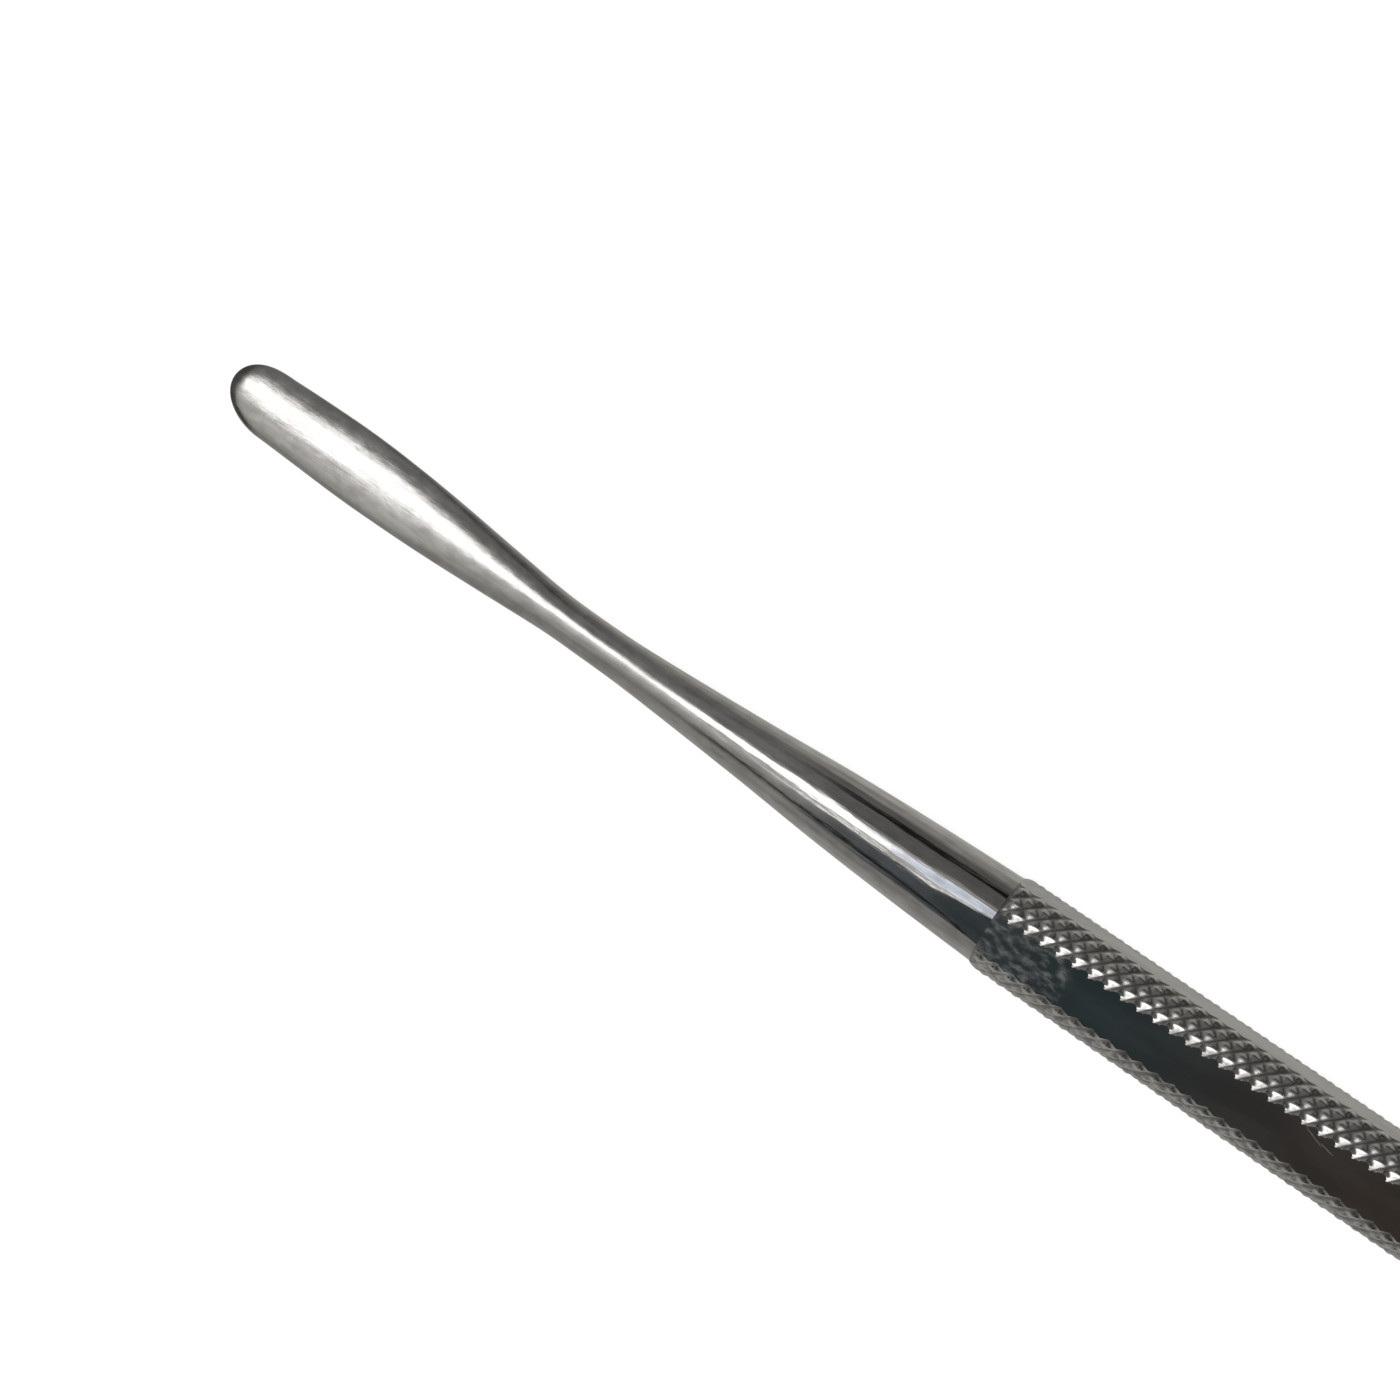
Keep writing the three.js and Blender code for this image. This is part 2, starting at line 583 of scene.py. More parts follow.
def as_piece(name: str, mesh: bpy.types.Mesh, node: str) -> None:
    """Puts a finished mesh in the scene as a piece of the tool.

    Args:
        name: The piece's name.
        mesh: Its mesh, in the row frame.
        node: The CAD node that it stands for.
    """
    mesh.name = name
    piece = bpy.data.objects.new(name, mesh)
    bpy.context.scene.collection.objects.link(piece)
    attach(piece, "root")
    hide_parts(node)
    LOG.info("%s stands for %s with %d faces", name, node, len(mesh.polygons))


class TipShape(Enum):
    """The two blades of the tool."""

    LEAF = "leaf_tip"
    SPEAR = "spear_tip"


@dataclass
class ForgedTip:
    """A blade, its neck and shank, and the tang inside the handle, forged as one piece.

    A tip is built pointing to +X from its shoulder at x = 0, as half-widths at distances from
    the shoulder, then pressed flat, set over, twisted and carried to its end of the handle.

    Attributes:
        outline: The (distance, half-width) of places from the shoulder to the nose's base.
        nose_fullness: 2 for an elliptic nose, and more for a blunter one.
        nose_roll: The length over which the nose's thickness falls away.
        flattening: The blade's thickness over its width.
        point_set: How far the nose's point is set to one side.
        lean: The centre line's sideways run for each metre of length.
        swing: How much further the blade is set to that side.
        edge_blend: The rounding where the shank runs into the handle's flats.
        points_to: 1.0 for a tip that points to +X, and -1.0 for one that points to -X.
        rings_per_span: How many rings there are from one place of the outline to the next.
    """

    shape: TipShape
    outline: tuple[tuple[float, float], ...]
    length: float
    nose_fullness: float
    nose_roll: float
    flattening: float
    flatten_from: float
    flatten_to: float
    point_set: float = 0.0
    lean: float = 0.0
    swing: float = 0.0
    swing_from: float = 28 * MM
    swing_to: float = 57 * MM
    twist: float = math.radians(-17.5)
    shoulder_radius: float = 2.99 * MM
    tang_radius: float = 1.6 * MM
    tang_length: float = 10 * MM
    tang_chamfer: float = 0.3 * MM
    side_apothem: float = 3.0 * MM
    broad_apothem: float = 2.84 * MM
    edge_blend: float = 0.03 * MM
    sharp_from: float = math.radians(40)
    points_to: float = 1.0
    sides: int = 144
    rings_per_span: int = 20
    nose_rings: int = 34

    def stations(self) -> np.ndarray:
        """Runs a smooth curve through the outline's places, and rounds the nose off.

        Returns:
            The (distance, half-width) of every ring from the shoulder to the nose.
        """
        points = np.array([(0.0, self.shoulder_radius), *self.outline])
        padded = np.vstack([points[:1], points, points[-1:]])
        steps = np.arange(self.rings_per_span) / self.rings_per_span
        rows = []
        for before, start, end, after in zip(padded, padded[1:], padded[2:], padded[3:]):
            leaving = (end - before) / 2
            arriving = (after - start) / 2
            for t in steps:
                cubic = (2 * start - 2 * end + leaving + arriving) * t**3
                square = (3 * end - 3 * start - 2 * leaving - arriving) * t**2
                rows.append(cubic + square + leaving * t + start)
        base, half = points[-1]
        for angle in np.linspace(0.0, math.pi / 2, self.nose_rings, endpoint=False):
            reach = math.sin(angle)
            width = math.sqrt(1.0 - reach**self.nose_fullness)
            rows.append((base + (self.length - base) * reach, half * width))
        return np.array(rows)

    def thickness(self, distance: float) -> float:
        """Works out how flat a section is pressed.

        Args:
            distance: How far the section is from the shoulder.

        Returns:
            Its thickness over its width, which is 1 where it is round.
        """
        flatness = smoothstep(distance, self.flatten_from, self.flatten_to)
        base = self.outline[-1][0]
        reach = min(1.0, max(0.0, (distance - base) / (self.length - base)))
        rolled = min(1.0, max(0.0, (distance - self.length) / self.nose_roll + 1.0))
        left_of_width = math.sqrt(1.0 - reach**self.nose_fullness)
        left_of_thickness = math.sqrt(1.0 - rolled**2)
        roll = left_of_thickness / left_of_width if left_of_width > 0.0 else 1.0
        return (1.0 + (self.flattening - 1.0) * flatness) * roll

    def sideways(self, distance: float) -> float:
        """Works out how far the centre line is set over.

        Args:
            distance: How far the section is from the shoulder.

        Returns:
            The sideways set.
        """
        blade = smoothstep(distance, self.swing_from, self.swing_to)
        point = smoothstep(distance, self.outline[-1][0], self.length)
        return self.lean * max(distance, 0.0) + self.swing * blade + self.point_set * point

    def ring(self, distance: float, half: float) -> np.ndarray:
        """Returns the vertices of one cross-section.

        Args:
            distance: How far the section is from the shoulder.
            half: Its half-width.

        Returns:
            One row of x, y, z for each side.
        """
        angle = np.arange(self.sides) * (math.tau / self.sides)
        y = half * np.cos(angle) + self.sideways(distance)
        z = half * np.sin(angle) * self.thickness(distance)
        turn = np.array([[math.cos(self.twist), -math.sin(self.twist)],
                         [math.sin(self.twist), math.cos(self.twist)]])
        y, z = turn @ np.array([y, z])
        if 0.0 <= distance < self.flatten_from:
            y = self.soft_limit(y, self.side_apothem)
            z = self.soft_limit(z, self.broad_apothem)
        return np.column_stack([np.full(self.sides, distance), y, z])

    def soft_limit(self, value: np.ndarray, apothem: float) -> np.ndarray:
        """Keeps a coordinate within a pair of the handle's flats, with a rounded meeting.

        Args:
            value: The coordinate, from the axis.
            apothem: How far each flat of the pair is from the axis.

        Returns:
            The limited coordinate.
        """
        over = np.abs(value) - apothem
        rounded = (over + np.sqrt(over**2 + self.edge_blend**2)) / 2
        return np.sign(value) * (np.abs(value) - rounded)

    def build(self, shoulder: Vector) -> bpy.types.Mesh:
        """Builds the tip's closed mesh.

        Args:
            shoulder: Where the tip's shoulder meets the handle's axis.

        Returns:
            The mesh, in the row frame.
        """
        tang = [(-self.tang_length, self.tang_radius - self.tang_chamfer),
                (self.tang_chamfer - self.tang_length, self.tang_radius),
                (0.0, self.tang_radius)]
        rings = [self.ring(x, half) for x, half in (*tang, *self.stations())]
        aside = self.sideways(self.length)
        tip = (self.length, aside * math.cos(self.twist), aside * math.sin(self.twist))
        vertices = np.vstack([*rings, [(-self.tang_length, 0.0, 0.0), tip]])
        if self.points_to < 0:
            vertices *= (-1.0, 1.0, -1.0)
        vertices += np.array(shoulder)
        mesh = bpy.data.meshes.new(self.shape.value)
        mesh.from_pydata(vertices.tolist(), [], self.faces(len(rings)))
        mesh.shade_smooth()
        mesh.set_sharp_from_angle(angle=self.sharp_from)
        return mesh

    def faces(self, rings: int) -> list[tuple[int, ...]]:
        """Returns the faces that join the rings and close both ends.

        Args:
            rings: The number of rings.

        Returns:
            The faces, pointing outwards.
        """
        back, front = rings * self.sides, rings * self.sides + 1
        made = []
        for side in range(self.sides):
            beside = (side + 1) % self.sides
            made.append((back, beside, side))
            for ring in range(rings - 1):
                low, high = ring * self.sides, (ring + 1) * self.sides
                made.append((low + side, low + beside, high + beside, high + side))
            last = (rings - 1) * self.sides
            made.append((last + side, last + beside, front))
        return made

    def dress(self, mesh: bpy.types.Mesh, shoulder: Vector) -> None:
        """Gives the tip its steel finish.

        Args:
            mesh: The tip's mesh.
            shoulder: Where the tip's shoulder meets the handle's axis.
        """
        finish = TipSteel(name=f"{self.shape.value}_steel", shoulder=shoulder.x,
                          direction=self.points_to)
        mesh.materials.append(finish.material())


@dataclass
class KnurledHandle:
    """A bar with a diamond knurl, four flats ground through it, and a bore at each end.

    Attributes:
        knurl_phase: How far the knurl is turned round the bar, in starts.
        cross_depth: How deep the second family of threads is cut, over the first's depth.
        rubbed_share: How much of their height the knurl's points have lost by wear.
        broad_apothem: How far the upper and lower flats are from the axis.
        side_apothem: How far the two side flats are from the axis.
        end_radius: The radius at the foot of the chamfer.
        block_overhang: The length of the block that grinds the flats, over the handle's.
        flat_tolerance: How close to a flat's plane a ground face lies.
        samples_along: How many faces one pitch of the knurl has.
        samples_round: How many faces one start of the knurl has.
    """

    length: float = 66 * MM
    crest_radius: float = 3.25 * MM
    knurl_depth: float = 0.17 * MM
    knurl_phase: float = 0.34
    cross_depth: float = 0.8
    rubbed_share: float = 0.12
    side_apothem: float = 3.0 * MM
    broad_apothem: float = 2.84 * MM
    end_radius: float = 3.03 * MM
    chamfer: float = 0.5 * MM
    bore_radius: float = 1.63 * MM
    bore_depth: float = 11 * MM
    bore_sides: int = 64
    block_overhang: float = 1.2
    flat_tolerance: float = 0.001 * MM
    sharp_from: float = math.radians(60)
    pitches_along: int = 58
    starts: int = 18
    samples_along: int = 9
    samples_round: int = 12
    knurl_finish: str = "knurl_steel"
    flat_finish: str = "ground_flat_steel"

    @property
    def axial_pitch(self) -> float:
        """Returns the knurl's pitch along the handle."""
        return self.length / self.pitches_along

    def add_inputs(self, tree: bpy.types.GeometryNodeTree) -> None:
        """Gives the tree its named inputs, with the handle's sizes as their values.

        Args:
            tree: The tree.
        """
        sizes = {
            "Length": self.length,
            "Crest Radius": self.crest_radius,
            "Knurl Depth": self.knurl_depth,
            "Knurl Phase": self.knurl_phase,
            "Cross Depth": self.cross_depth,
            "Rubbed Share": self.rubbed_share,
            "Side Apothem": self.side_apothem,
            "Broad Apothem": self.broad_apothem,
            "Block Overhang": self.block_overhang,
            "Flat Tolerance": self.flat_tolerance,
            "End Radius": self.end_radius,
            "Chamfer": self.chamfer,
            "Bore Radius": self.bore_radius,
            "Bore Depth": self.bore_depth,
            "Axial Pitch": self.axial_pitch,
        }
        counts = {
            "Pitches": self.pitches_along,
            "Starts": self.starts,
            "Samples Along": self.samples_along,
            "Samples Round": self.samples_round,
            "Bore Sides": self.bore_sides,
        }
        for kind, values in (("NodeSocketFloat", sizes), ("NodeSocketInt", counts)):
            for name, value in values.items():
                socket = tree.interface.new_socket(name, in_out="INPUT", socket_type=kind)
                socket.default_value = value
        tree.interface.new_socket("Centre", in_out="INPUT", socket_type="NodeSocketVector")
        for name in ("Knurl Material", "Flat Material"):
            tree.interface.new_socket(name, in_out="INPUT", socket_type="NodeSocketMaterial")

    def tree(self) -> bpy.types.GeometryNodeTree:
        """Builds the geometry nodes that cut the handle.

        Returns:
            The tree, with the handle's sizes as named inputs.
        """
        tree = bpy.data.node_groups.new("knurled_bar", "GeometryNodeTree")
        self.add_inputs(tree)
        tree.interface.new_socket("Bar", in_out="OUTPUT", socket_type="NodeSocketGeometry")
        book = NodeBook(tree)
        given = book.node("NodeGroupInput")
        size = {socket.name: Socket(book, socket) for socket in given.outputs if socket.name}
        bar = self.knurled_bar(book, size)
        bar = self.ground_flats(book, size, bar)
        bar = self.bored_ends(book, size, bar)
        placed = book.node("GeometryNodeTransform", Geometry=bar, Translation=size["Centre"])
        whole = book.node("GeometryNodeRealizeInstances", Geometry=placed.outputs[0])
        out = book.node("NodeGroupOutput")
        tree.links.new(self.dressed(book, size, whole.outputs[0]), out.inputs[0])
        return tree

    @staticmethod
    def knurled_bar(book: NodeBook, size: dict[str, Socket]) -> bpy.types.NodeSocket:
        """Adds the bar before grinding: a cylinder set to the knurl's height at every point.

        Args:
            book: The tree's node book.
            size: The tree's inputs.

        Returns:
            The bar's mesh, along X.
        """
        round_count = size["Starts"] * size["Samples Round"]
        along_count = size["Pitches"] * size["Samples Along"]
        blank = book.node("GeometryNodeMeshCylinder", {"fill_type": "NGON"},
                          Vertices=round_count, Side_Segments=along_count,
                          Radius=size["Crest Radius"], Depth=size["Length"])
        x, y, z = book.split(book.node("GeometryNodeInputPosition").outputs[0])
        around = book.math("ARCTAN2", y, x) * size["Starts"] / math.tau + size["Knurl Phase"]
        along = z / size["Axial Pitch"]

        def ridge(turns: Socket) -> Socket:
            """Returns one thread's height: 0 in its groove and 1 on its crest."""
            return book.math("PINGPONG", turns, 0.5) * 2

        crossed = 1 - size["Cross Depth"] * (1 - ridge(along - around))
        point = book.math("MINIMUM", ridge(along + around), crossed)
        height = book.math("MINIMUM", point * (1 + size["Rubbed Share"]), 1.0)
        knurled = size["Crest Radius"] - size["Knurl Depth"] * (1 - height)
        inward = size["Length"] * 0.5 - abs(z)
        slope = (size["Crest Radius"] - size["End Radius"]) / size["Chamfer"]
        radius = book.math("MINIMUM", knurled, size["End Radius"] + inward * slope)
        spoke = book.node("ShaderNodeCombineXYZ", X=z, Y=y * radius / size["Crest Radius"],
                          Z=(0 - x) * radius / size["Crest Radius"])
        shaped = book.node("GeometryNodeSetPosition", Geometry=blank.outputs["Mesh"],
                           Position=spoke.outputs[0])
        return shaped.outputs[0]

    @staticmethod
    def ground_flats(book: NodeBook, size: dict[str, Socket],
                     bar: bpy.types.NodeSocket) -> bpy.types.NodeSocket:
        """Adds the four flats: the bar's common part with a flat-sided block.

        Args:
            book: The tree's node book.
            size: The tree's inputs.
            bar: The knurled bar.

        Returns:
            The ground bar.
        """
        block = book.node("ShaderNodeCombineXYZ", X=size["Length"] * size["Block Overhang"],
                          Y=size["Side Apothem"] * 2, Z=size["Broad Apothem"] * 2)
        prism = book.node("GeometryNodeMeshCube", Size=block.outputs[0])
        ground = book.node("GeometryNodeMeshBoolean",
                           {"operation": "INTERSECT", "solver": "MANIFOLD"})
        for mesh in (bar, prism.outputs["Mesh"]):
            book.tree.links.new(mesh, ground.inputs["Mesh 2"])
        return ground.outputs["Mesh"]

    @staticmethod
    def bored_ends(book: NodeBook, size: dict[str, Socket],
                   bar: bpy.types.NodeSocket) -> bpy.types.NodeSocket:
        """Adds the bores that hold the tips' tangs.

        Args:
            book: The tree's node book.
            size: The tree's inputs.
            bar: The ground bar.

        Returns:
            The bored bar.
        """
        drill = book.node("GeometryNodeMeshCylinder", {"fill_type": "NGON"},
                          Vertices=size["Bore Sides"], Radius=size["Bore Radius"],
                          Depth=size["Bore Depth"] * 2)
        bored = book.node("GeometryNodeMeshBoolean",
                          {"operation": "DIFFERENCE", "solver": "MANIFOLD"})
        book.tree.links.new(bar, bored.inputs["Mesh 1"])
        for side in (-0.5, 0.5):
            end = book.node("ShaderNodeCombineXYZ", X=size["Length"] * side)
            placed = book.node("GeometryNodeTransform", Geometry=drill.outputs["Mesh"],
                               Translation=end.outputs[0], Rotation=(0.0, math.pi / 2, 0.0))
            book.tree.links.new(placed.outputs[0], bored.inputs["Mesh 2"])
        return bored.outputs["Mesh"]

    @staticmethod
    def dressed(book: NodeBook, size: dict[str, Socket],
                bar: bpy.types.NodeSocket) -> bpy.types.NodeSocket:
        """Adds the knurl's finish all over, and then the ground one on the flats and ends.

        Args:
            book: The tree's node book.
            size: The tree's inputs.
            bar: The whole bar, in its place.

        Returns:
            The bar with its materials.
        """
        place = book.split(book.node("GeometryNodeInputPosition").outputs[0])
        x, y, z = (here - middle for here, middle in zip(place, book.split(size["Centre"])))
        inward = (size["Length"] * 0.5 - abs(x), size["Side Apothem"] - abs(y),
                  size["Broad Apothem"] - abs(z))
        on_plane = [book.math("LESS_THAN", depth, size["Flat Tolerance"]) for depth in inward]
        ground = book.math("MAXIMUM", book.math("MAXIMUM", *on_plane[:2]), on_plane[2])
        knurled = book.node("GeometryNodeSetMaterial", Geometry=bar,
                            Material=size["Knurl Material"])
        both = book.node("GeometryNodeSetMaterial", Geometry=knurled.outputs[0],
                         Selection=ground, Material=size["Flat Material"])
        return both.outputs[0]

    def build(self, centre: Vector) -> bpy.types.Mesh:
        """Cuts the handle and returns it as a plain mesh.

        Args:
            centre: The middle of the handle, on its axis.

        Returns:
            The mesh, in the row frame.
        """
        knurl = KnurlSteel(name=self.knurl_finish, axis_y=centre.y, axis_z=centre.z,
                           crest=self.crest_radius, depth=self.knurl_depth)
        flats = GroundFlatSteel(name=self.flat_finish, centre_x=centre.x, centre_y=centre.y,
                                half_length=self.length / 2, axial_pitch=self.axial_pitch,
                                round_pitch=math.tau * self.crest_radius / self.starts)
        carrier = bpy.data.objects.new("handle_cutter", bpy.data.meshes.new("handle_cutter"))
        bpy.context.scene.collection.objects.link(carrier)
        modifier = carrier.modifiers.new("knurled_bar", "NODES")
        modifier.node_group = self.tree()
        given = {"Centre": tuple(centre), "Knurl Material": knurl.material(),
                 "Flat Material": flats.material()}
        for item in modifier.node_group.interface.items_tree:
            if item.in_out == "INPUT" and item.name in given:
                modifier[item.identifier] = given[item.name]
        cut = carrier.evaluated_get(bpy.context.evaluated_depsgraph_get())
        mesh = bpy.data.meshes.new_from_object(cut)
        bpy.data.objects.remove(carrier)
        self.sharpen(mesh)
        return mesh

    def sharpen(self, mesh: bpy.types.Mesh) -> None:
        """Shades the knurl smooth between its sharp edges, and every ground face flat.

        Args:
            mesh: The handle's mesh.
        """
        mesh.shade_smooth()
        mesh.set_sharp_from_angle(angle=self.sharp_from)
        finish = np.zeros(len(mesh.polygons), np.int32)
        mesh.polygons.foreach_get("material_index", finish)
        knurled = finish == mesh.materials.find(self.knurl_finish)
        mesh.polygons.foreach_set("use_smooth", knurled)


@dataclass
class ClayTool:
    """The whole tool: the handle with a tip pressed into each end."""

    handle: KnurledHandle
    leaf: ForgedTip
    spear: ForgedTip

    def axis_centre(self) -> Vector:
        """Returns the middle of the handle, on its axis."""
        low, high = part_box("handle")
        return (low + high) / 2

    def build(self) -> None:
        """Builds and dresses every piece."""
        centre = self.axis_centre()
        as_piece("knurled_handle", self.handle.build(centre), "handle")
        for tip in (self.leaf, self.spear):
            end = Vector((tip.points_to * self.handle.length / 2, 0.0, 0.0))
            mesh = tip.build(centre + end)
            tip.dress(mesh, centre + end)
            as_piece(f"forged_{tip.shape.value}", mesh, tip.shape.value)


# ------------------------------------------------------------------------------------ studio


@dataclass
class Card:
    """A card over the tool that its polished faces mirror: a strip light or a dark flag.

    Attributes:
        name: The card's name.
        tilt: The angle round the handle's axis at which it hangs, from straight up towards +Y.
        distance: How far it hangs from the axis.
        across: Its width round the axis.
        start: Where it starts along the tool, from the collar.
        end: Where it ends along the tool, from the collar.
        strength: How strongly it glows.
        fade: The length over which it fades in at its start.
        edge: The width over which it fades out at its sides.
        stops: Its colours, at places along the tool from the collar.
    """

    name: str
    tilt: float
    distance: float
    across: float
    start: float
    end: float
    strength: float
    fade: float
    edge: float
    stops: tuple[tuple[float, tuple], ...] = ((0.0, (1.0, 1.0, 1.0)),)

    def build(self, axis: Vector) -> None:
        """Makes the card, which is seen in reflections but not by the camera.

        Args:
            axis: A point on the handle's axis that start and end are measured from.
        """
        outwards = Vector((0.0, math.sin(self.tilt), math.cos(self.tilt)))
        sideways = Vector((0.0, math.cos(self.tilt), -math.sin(self.tilt)))
        corners = []
        for x, side in ((self.start, -1), (self.end, -1), (self.end, 1), (self.start, 1)):
            spot = axis + outwards * self.distance + sideways * (side * self.across / 2)
            corners.append(spot + Vector((x, 0.0, 0.0)))
        mesh = bpy.data.meshes.new(self.name)
        mesh.from_pydata([tuple(corner) for corner in corners], [], [(0, 3, 2, 1)])
        card = bpy.data.objects.new(self.name, mesh)
        bpy.context.scene.collection.objects.link(card)
        mesh.materials.append(self.material(axis))
        card.visible_camera = False
        card.visible_shadow = False
        card.visible_diffuse = False
        LOG.info("%s hung", self.name)

    def material(self, axis: Vector) -> bpy.types.Material:
        """Builds the card's glow, which fades at its start and sides and may change colour.

        Args:
            axis: A point on the handle's axis that start, end and stops are measured from.

        Returns:
            The material.
        """
        made = bpy.data.materials.new(self.name)
        book = emptied(made)
        x, y, z = book.place()
        start = axis.x + self.start
        end = axis.x + self.end
        along = (x - start) / (end - start)
        places = [(place - self.start) / (self.end - self.start) for place, _ in self.stops]
        colour = book.ramp(along, tuple(zip(places, (colour for _, colour in self.stops))))
        glow = book.node("ShaderNodeEmission", Strength=self.strength, Color=colour)
        clear = book.node("ShaderNodeBsdfTransparent")
        side = (y - axis.y) * math.cos(self.tilt) - (z - axis.z) * math.sin(self.tilt)
        inside = self.across / 2 - abs(side)
        shown = book.smooth(x, start, start + self.fade) * book.smooth(inside, 0.0, self.edge)
        both = book.joined("ShaderNodeMixShader", (clear, glow), Fac=shown)
        book.node("ShaderNodeOutputMaterial", Surface=both)
        return made


@dataclass(frozen=True)
class Band:
    """A stretch of the surroundings that runs along the tool.

    Its place is an angle round the tool, in degrees from straight up. Angles grow towards +Y,
    down behind the tool. It may stop short of -X, where a direction's x is less than x_from,
    or of +X, where it is more than x_to.
    """

    name: str
    start: float
    end: float
    colour: tuple
    soft: float = 4.0
    x_from: float = -2.0
    x_to: float = 2.0
    x_soft: float = 0.06

    def mask(self, book: NodeBook, turn: Socket, x: Socket) -> Socket:
        """Returns 1 inside the band and 0 outside it.

        Args:
            book: The world's node book.
            turn: The angle round the tool, in degrees.
            x: The direction's x.

        Returns:
            The mask.
        """
        rise = book.smooth(turn, self.start - self.soft, self.start + self.soft)
        fall = 1 - book.smooth(turn, self.end - self.soft, self.end + self.soft)
        left = book.smooth(x, self.x_from - self.x_soft, self.x_from + self.x_soft)
        right = 1 - book.smooth(x, self.x_to - self.x_soft, self.x_to + self.x_soft)
        return rise * fall * left * right


@dataclass
class Studio:
    """A pale floor, soft light and the camera.

    Attributes:
        roll: How far the camera is turned about its own view.
        side_lean: How far it leans towards +Y, from straight over the tool.
        end_tilt: How far it leans towards the handle's far end.
        distance: How far it is from the point that it aims at.
        aim_from_collar: How far that point is from the collar, towards the leaf's nose.
        aim_up: How far that point is above the axis, as the camera sees it.
        grey: The surroundings where no band covers them.
        bands: The surroundings' bands, each laid over the ones before it.
    """

    roll: float = math.radians(34.27)
    side_lean: float = math.radians(20)
    end_tilt: float = math.radians(12.67)
    distance: float = 181.6 * MM
    aim_from_collar: float = 22.94 * MM
    aim_up: float = 0.86 * MM
    lens: float = 75.0
    clip: tuple[float, float] = (0.01, 10.0)
    floor_size: float = 3.0
    floor_glow: float = 0.86
    paper: tuple = (0.35, 0.35, 0.35)
    white: tuple = (1.0, 1.0, 1.0)
    grey: tuple = (0.50, 0.49, 0.465)
    bands: tuple[Band, ...] = (
        Band("under_front", -172, -85, (0.41, 0.40, 0.385), 10),
        Band("low_front", -92, -40, (0.28, 0.275, 0.265), 18),
        Band("low_front_past_the_blade", -92, -40, (0.38, 0.37, 0.35), 10, x_to=-0.30),
        Band("low_back", 108, 138, (0.34, 0.33, 0.315), 6),
        Band("back_wall", 36, 110, (0.145, 0.14, 0.135), 6),
        Band("back_wall_past_the_blade", 36, 110, (0.24, 0.235, 0.23), 6, x_to=-0.30),
        Band("doorway", 74, 86, (0.012, 0.01, 0.01), 3, x_from=-0.28),
        Band("front_wall", -14, 9, (0.66, 0.65, 0.63), 9),
        Band("softbox", 9, 29, (2.6, 2.58, 2.58), 3, x_from=-0.52, x_soft=0.1),
        Band("softbox_fold", 9, 29, (0.78, 0.88, 1.05), 5, x_from=-0.235, x_to=-0.11, x_soft=0.03),
        Band("dark_far_corner", -80, -30, (0.012, 0.012, 0.012), 6, x_from=0.25),
        Band("dark_near_corner", -64, -30, (0.01, 0.01, 0.01), 6, x_to=-0.47, x_soft=0.04),
        Band("end_wall", -200, 200, (0.09, 0.088, 0.085), 4, x_to=-0.66, x_soft=0.12),
    )

    def floor(self) -> None:
        """Makes the floor, nearly white, with a faint shadow under the tool."""
        half = self.floor_size / 2
        corners = [(-half, -half, 0.0), (half, -half, 0.0), (half, half, 0.0), (-half, half, 0.0)]
        mesh = bpy.data.meshes.new("floor")
        mesh.from_pydata(corners, [], [(0, 1, 2, 3)])
        floor = bpy.data.objects.new("floor", mesh)
        bpy.context.scene.collection.objects.link(floor)
        floor.visible_glossy = False
        made = bpy.data.materials.new("pale_floor")
        book = emptied(made)
        paper = book.node("ShaderNodeBsdfDiffuse", Color=(*self.paper, 1.0))
        glow = book.node("ShaderNodeEmission", Color=(*self.white, 1.0), Strength=self.floor_glow)
        both = book.joined("ShaderNodeAddShader", (paper, glow))
        book.node("ShaderNodeOutputMaterial", Surface=both)
        mesh.materials.append(made)

    def world(self) -> None:
        """Surrounds the tool with the grey bands it mirrors, behind a white backdrop."""
        world = bpy.data.worlds.new("studio")
        bpy.context.scene.world = world
        book = emptied(world)
        x, y, z = book.split(book.node("ShaderNodeTexCoord").outputs["Generated"])
        turn = book.math("ARCTAN2", y, z) * math.degrees(1.0)
        colour = self.grey
        for band in self.bands:
            colour = book.tint(band.mask(book, turn, x), colour, band.colour)
        seen = book.node("ShaderNodeLightPath").outputs["Is Camera Ray"]
        around = book.node("ShaderNodeBackground", Color=colour, Strength=1.0)
        behind = book.node("ShaderNodeBackground", Color=(*self.white, 1.0), Strength=1.0)
        both = book.joined("ShaderNodeMixShader", (around, behind), Fac=seen)
        book.node("ShaderNodeOutputWorld", Surface=both)

    def cards(self, collar: Vector) -> None:
        """Hangs the strip light and the two dark cards over the tool.

        Args:
            collar: Where the leaf tip meets the handle.
        """
        strip_light = Card(
            name="strip_light", tilt=math.radians(-2), distance=0.35, across=0.016,
            start=-0.145, end=-0.055, strength=2.2, fade=0.02, edge=0.004,
        )
        dark_flag = Card(
            name="dark_flag", tilt=math.radians(-31), distance=0.16, across=0.166,
            start=-0.085, end=0.25, strength=1.0, fade=0.035, edge=0.018,
            stops=(
                (-0.080, (0.15, 0.16, 0.165)),
                (-0.045, (0.11, 0.12, 0.13)),
                (-0.018, (0.05, 0.065, 0.07)),
                (0.0, (0.036, 0.056, 0.062)),
                (0.016, (0.05, 0.05, 0.05)),
                (0.05, (0.07, 0.052, 0.04)),
            ),
        )
        dark_slit = Card(
            name="dark_slit", tilt=math.radians(-42), distance=0.155, across=0.030,
            start=-0.090, end=-0.012, strength=1.0, fade=0.03, edge=0.008,
            stops=((0.0, (0.02, 0.02, 0.02)),),
        )
        for card in (strip_light, dark_flag, dark_slit):
            card.build(collar)

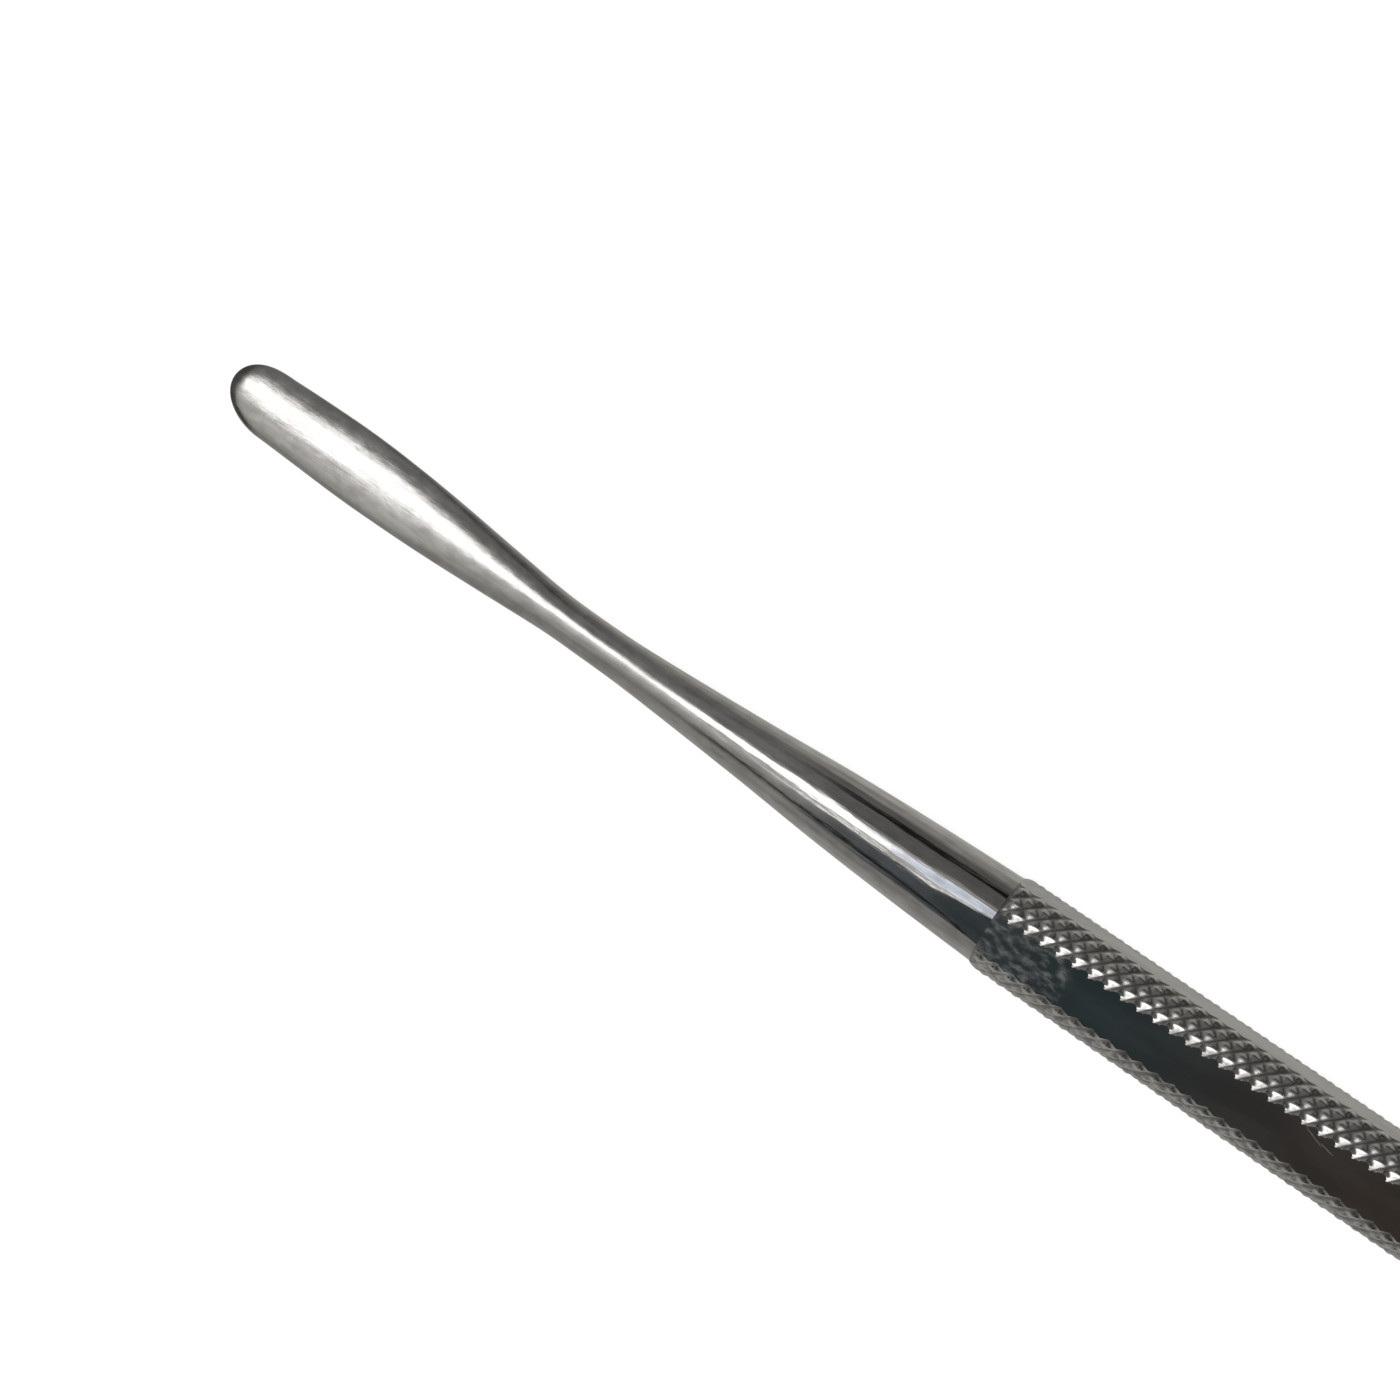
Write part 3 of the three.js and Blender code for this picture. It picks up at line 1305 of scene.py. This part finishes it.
    def camera(self, collar: Vector) -> None:
        """Places the camera, close over the leaf tip and leaning towards +Y.

        Args:
            collar: Where the leaf tip meets the handle.
        """
        along = Vector((1.0, 0.0, 0.0))
        off_axis = Vector((0.0, math.sin(self.side_lean), math.cos(self.side_lean)))
        towards = off_axis * math.cos(self.end_tilt) + along * math.sin(self.end_tilt)
        right = along * math.cos(self.end_tilt) - off_axis * math.sin(self.end_tilt)
        up = towards.cross(right)
        rolled_right = right * math.cos(self.roll) + up * math.sin(self.roll)
        rolled_up = up * math.cos(self.roll) - right * math.sin(self.roll)
        aim = collar - along * self.aim_from_collar + up * self.aim_up
        place = Matrix((rolled_right, rolled_up, towards)).transposed().to_4x4()
        place.translation = aim + towards * self.distance
        data = bpy.data.cameras.new("camera")
        data.lens = self.lens
        data.clip_start, data.clip_end = self.clip
        camera = bpy.data.objects.new("camera", data)
        camera.matrix_world = place
        bpy.context.scene.collection.objects.link(camera)
        bpy.context.scene.camera = camera

    def build(self, collar: Vector) -> None:
        """Builds the studio round the tool.

        Args:
            collar: Where the leaf tip meets the handle.
        """
        bpy.context.scene.view_settings.view_transform = "Standard"
        self.floor()
        self.world()
        self.cards(collar)
        self.camera(collar)


def clay_tool() -> ClayTool:
    """Returns the tool with its two blades."""
    leaf = ForgedTip(
        shape=TipShape.LEAF,
        outline=tuple((x * MM, half * MM) for x, half in (
            (6, 2.77), (12, 2.46), (18, 2.02), (24, 1.645), (28, 1.44), (31, 1.4),
            (34, 1.44), (38, 1.73), (43, 2.1), (47, 2.3), (51, 2.37), (57, 2.22))),
        length=60.75 * MM, nose_fullness=2.3, nose_roll=1.2 * MM,
        flattening=0.25, flatten_from=24 * MM, flatten_to=49 * MM, point_set=0.2 * MM,
        lean=0.007, swing=0.6 * MM, twist=math.radians(17.5), points_to=-1.0,
    )
    spear = ForgedTip(
        shape=TipShape.SPEAR,
        outline=tuple((x * MM, half * MM) for x, half in (
            (6, 2.72), (12, 2.3), (18, 1.8), (23, 1.46), (28, 1.35),
            (33, 1.55), (38, 1.86), (43, 1.92), (48, 1.66), (53, 1.16))),
        length=58 * MM, nose_fullness=2.0, nose_roll=3 * MM,
        flattening=0.32, flatten_from=22 * MM, flatten_to=42 * MM,
    )
    return ClayTool(KnurledHandle(), leaf, spear)


def main() -> None:
    """Builds the tool and its studio."""
    logging.basicConfig(level=logging.INFO, format="%(name)s: %(message)s")
    tool = clay_tool()
    collar = tool.axis_centre() - Vector((tool.handle.length / 2, 0.0, 0.0))
    tool.build()
    Studio().build(collar)


if __name__ == "__main__":
    main()
